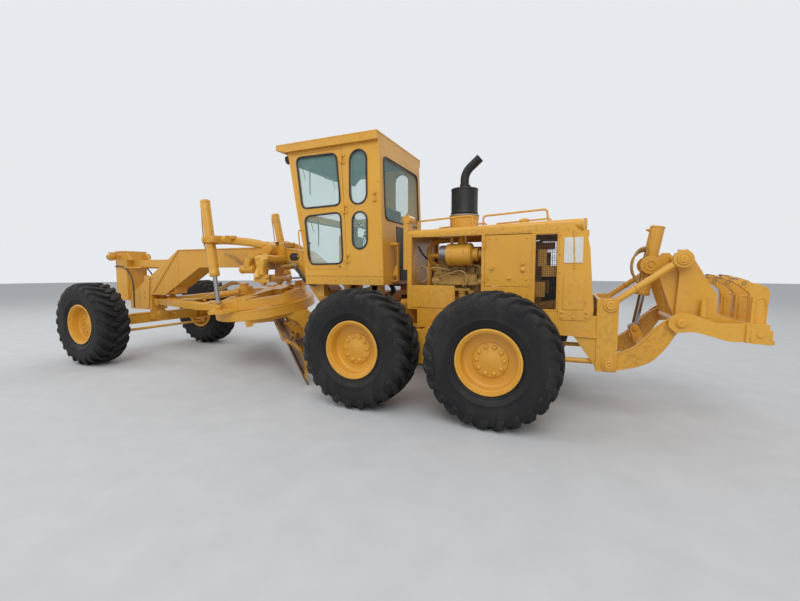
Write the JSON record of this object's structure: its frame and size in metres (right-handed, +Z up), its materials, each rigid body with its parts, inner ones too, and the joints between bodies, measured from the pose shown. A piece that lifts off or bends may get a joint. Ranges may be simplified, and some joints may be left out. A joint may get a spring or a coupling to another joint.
{
  "type": "motor grader",
  "caption": "Articulated motor grader with an arched front beam, a turning blade on a drawbar, a glazed cab, tandem rear wheels and a rear ripper.",
  "frame": {"origin": "the middle of the outer box at ground level", "axes": "+X forward, +Y to the left, +Z up"},
  "size_m": [10.846, 3.6291, 3.5599],
  "materials": {
    "yellow_paint": "weathered gloss paint",
    "tyre": "dusty rubber",
    "black_metal": "satin, sooty",
    "seat_cloth": "woven",
    "glass": "clear, faint green",
    "chrome_rod": "polished",
    "worn_steel": "worn and rusty",
    "engine_metal": "painted casting"
  },
  "bodies": {
    "rear_frame": {"rear_frame": "yellow_paint", "rear_axle": "yellow_paint", "engine": "engine_metal", "grilles": "black_metal", "hood": "yellow_paint", "side_panels": "yellow_paint", "exhaust": "black_metal"},
    "front_frame": {"front_frame": "yellow_paint", "cab_floor": "yellow_paint", "cab_walls": "yellow_paint", "cab_roof": "yellow_paint", "cab_glass": "glass", "seat": "seat_cloth", "lift_yoke": "yellow_paint", "front_axle": "yellow_paint"},
    "wheel_middle_left": {"tyre_middle_left": "tyre", "rim_middle_left": "yellow_paint"},
    "wheel_rear_left": {"tyre_rear_left": "tyre", "rim_rear_left": "yellow_paint"},
    "wheel_front_left": {"tyre_front_left": "tyre", "rim_front_left": "yellow_paint"},
    "knuckle_left": {"knuckle_left": "yellow_paint"},
    "wheel_middle_right": {"tyre_middle_right": "tyre", "rim_middle_right": "yellow_paint"},
    "wheel_rear_right": {"tyre_rear_right": "tyre", "rim_rear_right": "yellow_paint"},
    "wheel_front_right": {"tyre_front_right": "tyre", "rim_front_right": "yellow_paint"},
    "knuckle_right": {"knuckle_right": "yellow_paint"},
    "tie_rod": {"tie_rod": "yellow_paint"},
    "cab_door_left": {"cab_door_left": "yellow_paint", "door_glass_left": "glass"},
    "side_door_left": {"side_door_left": "yellow_paint"},
    "cab_door_right": {"cab_door_right": "yellow_paint", "door_glass_right": "glass"},
    "side_door_right": {"side_door_right": "yellow_paint"},
    "drawbar_ball": {"drawbar_ball": "yellow_paint"},
    "drawbar": {"drawbar": "yellow_paint"},
    "circle": {"circle": "yellow_paint"},
    "tip_bracket": {"tip_bracket": "yellow_paint"},
    "tip_barrel": {"tip_barrel": "yellow_paint"},
    "tip_rod": {"tip_rod": "chrome_rod"},
    "blade": {"blade": "worn_steel"},
    "lift_collar_left": {"lift_collar_left": "yellow_paint"},
    "lift_barrel_left": {"lift_barrel_left": "yellow_paint"},
    "lift_rod_left": {"lift_rod_left": "chrome_rod"},
    "lift_collar_right": {"lift_collar_right": "yellow_paint"},
    "lift_barrel_right": {"lift_barrel_right": "yellow_paint"},
    "lift_rod_right": {"lift_rod_right": "chrome_rod"},
    "shift_barrel": {"shift_barrel": "yellow_paint"},
    "shift_rod": {"shift_rod": "chrome_rod"},
    "bend_barrel_left": {"bend_barrel_left": "yellow_paint"},
    "bend_rod_left": {"bend_rod_left": "chrome_rod"},
    "bend_barrel_right": {"bend_barrel_right": "yellow_paint"},
    "bend_rod_right": {"bend_rod_right": "chrome_rod"},
    "ripper_arms": {"ripper_arms": "yellow_paint"},
    "ripper_links": {"ripper_links": "yellow_paint"},
    "ripper_carriage": {"ripper_carriage": "yellow_paint"},
    "ripper_barrel": {"ripper_barrel": "yellow_paint"},
    "ripper_rod": {"ripper_rod": "chrome_rod"}
  },
  "joints": [
    {"name": "articulation", "type": "hinge", "parent": "rear_frame", "child": "front_frame", "pos_m": [-1.42, 0.29, 1.07], "axis": [0, 0, 1], "range_deg": [-20, 20]},
    {"name": "roll_middle_left", "type": "hinge", "parent": "rear_frame", "child": "wheel_middle_left", "pos_m": [-1.185, 1.53, 0.745], "axis": [0, 1, 0], "continuous": true},
    {"name": "roll_rear_left", "type": "hinge", "parent": "rear_frame", "child": "wheel_rear_left", "pos_m": [-2.835, 1.53, 0.745], "axis": [0, 1, 0], "continuous": true},
    {"name": "roll_front_left", "type": "hinge", "parent": "knuckle_left", "child": "wheel_front_left", "pos_m": [4.445, 1.53, 0.745], "axis": [0, 1, 0], "continuous": true},
    {"name": "roll_middle_right", "type": "hinge", "parent": "rear_frame", "child": "wheel_middle_right", "pos_m": [-1.185, -0.95, 0.745], "axis": [0, 1, 0], "continuous": true},
    {"name": "roll_rear_right", "type": "hinge", "parent": "rear_frame", "child": "wheel_rear_right", "pos_m": [-2.835, -0.95, 0.745], "axis": [0, 1, 0], "continuous": true},
    {"name": "roll_front_right", "type": "hinge", "parent": "knuckle_right", "child": "wheel_front_right", "pos_m": [4.445, -0.95, 0.745], "axis": [0, 1, 0], "continuous": true},
    {"name": "steer_left", "type": "hinge", "parent": "front_frame", "child": "knuckle_left", "pos_m": [4.445, 1.15, 0.745], "axis": [0, 0, 1], "range_deg": [-45, 45]},
    {"name": "steer_right", "type": "hinge", "parent": "front_frame", "child": "knuckle_right", "pos_m": [4.445, -0.57, 0.745], "axis": [0, 0, 1], "range_deg": [-45.91, 45.91]},
    {"name": "tie_rod_turn", "type": "hinge", "parent": "knuckle_left", "child": "tie_rod", "pos_m": [4.145, 1.15, 0.545], "axis": [0, 0, 1], "range_deg": [-45.91, 45.91]},
    {"name": "cab_door_left_swing", "type": "hinge", "parent": "front_frame", "child": "cab_door_left", "pos_m": [-0.712, 1.06, 1.729], "axis": [0.0466, 0, 0.9989], "range_deg": [0, 170]},
    {"name": "side_door_left_swing", "type": "hinge", "parent": "rear_frame", "child": "side_door_left", "pos_m": [-2.61, 0.902, 1.84], "axis": [0, 0, -1], "range_deg": [0, 110]},
    {"name": "cab_door_right_swing", "type": "hinge", "parent": "front_frame", "child": "cab_door_right", "pos_m": [-0.712, -0.48, 1.729], "axis": [-0.0466, 0, -0.9989], "range_deg": [0, 170]},
    {"name": "side_door_right_swing", "type": "hinge", "parent": "rear_frame", "child": "side_door_right", "pos_m": [-2.61, -0.322, 1.84], "axis": [0, 0, 1], "range_deg": [0, 110]},
    {"name": "drawbar_shift", "type": "hinge", "parent": "front_frame", "child": "drawbar_ball", "pos_m": [4.29, 0.29, 1.08], "axis": [0, 0, 1], "range_deg": [-5.5, 5.5]},
    {"name": "drawbar_lift", "type": "hinge", "parent": "drawbar_ball", "child": "drawbar", "pos_m": [4.29, 0.29, 1.08], "axis": [-0.009, 0.9877, -0.1562], "range_deg": [-8, 2.5]},
    {"name": "lift_swing_left", "type": "hinge", "parent": "front_frame", "child": "lift_collar_left", "pos_m": [1.82, 1.15, 2.21], "axis": [0.9483, -0.3173, 0], "range_deg": [-14.12, 14.12]},
    {"name": "lift_tilt_left", "type": "hinge", "parent": "lift_collar_left", "child": "lift_barrel_left", "pos_m": [1.82, 1.15, 2.21], "axis": [0, 1, 0], "range_deg": [-2.24, 0.7]},
    {"name": "lift_stroke_left", "type": "slide", "parent": "lift_barrel_left", "child": "lift_rod_left", "axis": [-0.1649, 0.0304, -0.9858], "range_m": [-0.1151, 0.3684]},
    {"name": "lift_swing_right", "type": "hinge", "parent": "front_frame", "child": "lift_collar_right", "pos_m": [1.82, -0.57, 2.21], "axis": [0.9483, 0.3173, 0], "range_deg": [-18.62, 18.62]},
    {"name": "lift_tilt_right", "type": "hinge", "parent": "lift_collar_right", "child": "lift_barrel_right", "pos_m": [1.82, -0.57, 2.21], "axis": [0, 1, 0], "range_deg": [-3.59, 1.12]},
    {"name": "lift_stroke_right", "type": "slide", "parent": "lift_barrel_right", "child": "lift_rod_right", "axis": [-0.2011, -0.0294, -0.9791], "range_m": [-0.1156, 0.37]},
    {"name": "shift_tilt", "type": "hinge", "parent": "front_frame", "child": "shift_barrel", "pos_m": [0.925, 0.85, 1.583], "axis": [0.9703, 0.2419, 0], "range_deg": [-6.29, 20.12]},
    {"name": "shift_stroke", "type": "slide", "parent": "shift_barrel", "child": "shift_rod", "axis": [0.2021, -0.9794, 0.0001], "range_m": [-0.3111, 0.3111]},
    {"name": "circle_turn", "type": "hinge", "parent": "drawbar", "child": "circle", "pos_m": [1.48612, 0.26654, 1.09327], "axis": [0.0569, 0.1564, 0.9861], "range_deg": [-75, 51]},
    {"name": "blade_tip", "type": "hinge", "parent": "circle", "child": "tip_bracket", "pos_m": [1.10926, -0.19284, 0.40193], "axis": [-0.7184, 0.6923, -0.0684], "range_deg": [-5, 20]},
    {"name": "blade_shift", "type": "slide", "parent": "tip_bracket", "child": "blade", "axis": [-0.7184, 0.6923, -0.0684], "range_m": [-0.31, 0.5]},
    {"name": "tip_pivot", "type": "hinge", "parent": "circle", "child": "tip_barrel", "pos_m": [1.7136, 0.48337, 0.8987], "axis": [-0.7184, 0.6923, -0.0684], "range_deg": [-1.01, 4.02]},
    {"name": "tip_stroke", "type": "slide", "parent": "tip_barrel", "child": "tip_rod", "axis": [-0.6956, -0.7141, 0.0785], "range_m": [-0.2102, 0.0526]},
    {"name": "bend_pivot_left", "type": "hinge", "parent": "rear_frame", "child": "bend_barrel_left", "pos_m": [-2.07, 0.69, 1.25], "axis": [0, 0, 1], "range_deg": [-8.77, 8.77]},
    {"name": "bend_stroke_left", "type": "slide", "parent": "bend_barrel_left", "child": "bend_rod_left", "axis": [0.9982, -0.0592, 0], "range_m": [-0.1279, 0.1279]},
    {"name": "bend_pivot_right", "type": "hinge", "parent": "rear_frame", "child": "bend_barrel_right", "pos_m": [-2.07, -0.11, 1.25], "axis": [0, 0, 1], "range_deg": [-8.77, 8.77]},
    {"name": "bend_stroke_right", "type": "slide", "parent": "bend_barrel_right", "child": "bend_rod_right", "axis": [0.9982, 0.0592, 0], "range_m": [-0.1279, 0.1279]},
    {"name": "ripper_lift", "type": "hinge", "parent": "rear_frame", "child": "ripper_arms", "pos_m": [-4.02, 0.29, 0.65], "axis": [0, -1, 0], "range_deg": [0, 47]},
    {"name": "ripper_level", "type": "hinge", "parent": "ripper_arms", "child": "ripper_carriage", "pos_m": [-4.681, 0.29, 1.158], "axis": [0, -1, 0], "range_deg": [-47.95, 0]},
    {"name": "ripper_link_turn", "type": "hinge", "parent": "rear_frame", "child": "ripper_links", "pos_m": [-4.02, 0.29, 1.32], "axis": [0, -1, 0], "range_deg": [0, 47.95]},
    {"name": "ripper_tilt", "type": "hinge", "parent": "ripper_carriage", "child": "ripper_barrel", "pos_m": [-4.45, 0.29, 1.77], "axis": [0, -1, 0], "range_deg": [0, 7.33]},
    {"name": "ripper_stroke", "type": "slide", "parent": "ripper_barrel", "child": "ripper_rod", "axis": [0.1614, 0, -0.9869], "range_m": [-0.3039, 0]}
  ],
  "couplings": [
    {"joint": "steer_right", "follows": "steer_left", "ratio": 1},
    {"joint": "tie_rod_turn", "follows": "steer_left", "ratio": -1},
    {"joint": "lift_swing_left", "follows": "drawbar_shift", "ratio": -2.5158},
    {"joint": "lift_tilt_left", "follows": "drawbar_lift", "ratio": 0.2735},
    {"joint": "lift_stroke_left", "follows": "drawbar_lift", "m_per_rad": -2.5868},
    {"joint": "lift_swing_right", "follows": "drawbar_shift", "ratio": -3.3174},
    {"joint": "lift_tilt_right", "follows": "drawbar_lift", "ratio": 0.43894},
    {"joint": "lift_stroke_right", "follows": "drawbar_lift", "m_per_rad": -2.5981},
    {"joint": "shift_tilt", "follows": "drawbar_lift", "ratio": -2.4651},
    {"joint": "shift_stroke", "follows": "drawbar_shift", "m_per_rad": 3.1766},
    {"joint": "tip_pivot", "follows": "blade_tip", "ratio": 0.19691},
    {"joint": "tip_stroke", "follows": "blade_tip", "m_per_rad": -0.59019},
    {"joint": "bend_pivot_left", "follows": "articulation", "ratio": 0.42953},
    {"joint": "bend_stroke_left", "follows": "articulation", "m_per_rad": -0.35887},
    {"joint": "bend_pivot_right", "follows": "articulation", "ratio": 0.42953},
    {"joint": "bend_stroke_right", "follows": "articulation", "m_per_rad": 0.35887},
    {"joint": "ripper_level", "follows": "ripper_lift", "ratio": -1},
    {"joint": "ripper_link_turn", "follows": "ripper_lift", "ratio": 1},
    {"joint": "ripper_tilt", "follows": "ripper_lift", "ratio": 0.15275},
    {"joint": "ripper_stroke", "follows": "ripper_lift", "m_per_rad": -0.36307}
  ]
}
